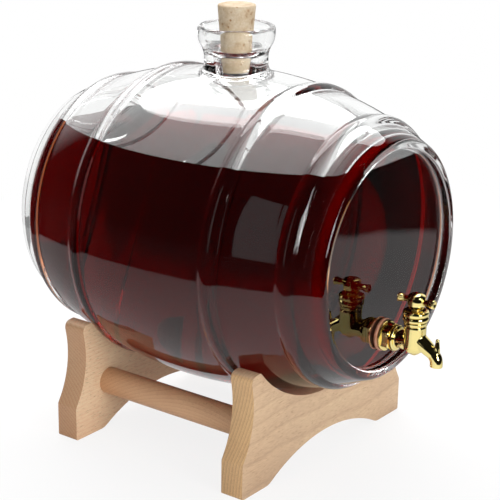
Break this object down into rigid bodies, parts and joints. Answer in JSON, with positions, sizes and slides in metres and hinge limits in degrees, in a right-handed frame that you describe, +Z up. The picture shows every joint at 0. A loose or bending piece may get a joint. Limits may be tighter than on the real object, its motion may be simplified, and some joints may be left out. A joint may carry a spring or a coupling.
{
  "type": "glass barrel drink dispenser",
  "caption": "Glass barrel drink dispenser with moulded hoops, a corked neck on top and a plug tap in its front head, resting in a beech cradle.",
  "frame": {"origin": "under the middle of the object's box, on the table that the feet stand on", "axes": "+Z up; the barrel's axis lies along Y and the tap points to -Y; +X is to the right of someone who faces the tap"},
  "size_m": [0.2272, 0.3116, 0.3163],
  "materials": {
    "beech": "sanded beech with a thin clear lacquer",
    "dowel_beech": "turned beech dowel, sanded",
    "clear_glass": "clear moulded glass, fire-polished",
    "dark_drink": "dark red drink with a still surface",
    "cork": "natural cork with small brown pits",
    "polished_brass": "mirror-polished, gold-coloured",
    "plug_brass": "turned, unpolished",
    "seal_rubber": "matt black",
    "gasket_rubber": "soft, slightly clear, amber pink"
  },
  "bodies": {
    "stand": {"front_cradle": "beech", "rear_cradle": "beech", "left_dowel": "dowel_beech", "right_dowel": "dowel_beech"},
    "barrel": {"glass_barrel": "clear_glass", "liquid_fill": "dark_drink", "tap_body": "polished_brass", "bonnet_ring": "polished_brass", "flange_nut": "polished_brass", "outer_gasket": "gasket_rubber", "inner_gasket": "gasket_rubber", "back_nut": "plug_brass"},
    "cork": {"cork_stopper": "cork"},
    "handle": {"tap_handle": "polished_brass", "tap_plug": "plug_brass", "plug_o_rings": "seal_rubber", "plug_washer": "plug_brass", "plug_screw": "plug_brass"}
  },
  "joints": [
    {"name": "barrel_lift", "type": "slide", "parent": "stand", "child": "barrel", "axis": [0, 0, 1], "range_m": [0, 0.06]},
    {"name": "cork_pull", "type": "slide", "parent": "barrel", "child": "cork", "axis": [0, 0, 1], "range_m": [0, 0.05]},
    {"name": "handle_turn", "type": "hinge", "parent": "barrel", "child": "handle", "pos_m": [0, -0.1337, 0.133], "axis": [0, 0, 1], "range_deg": [0, 90]}
  ]
}
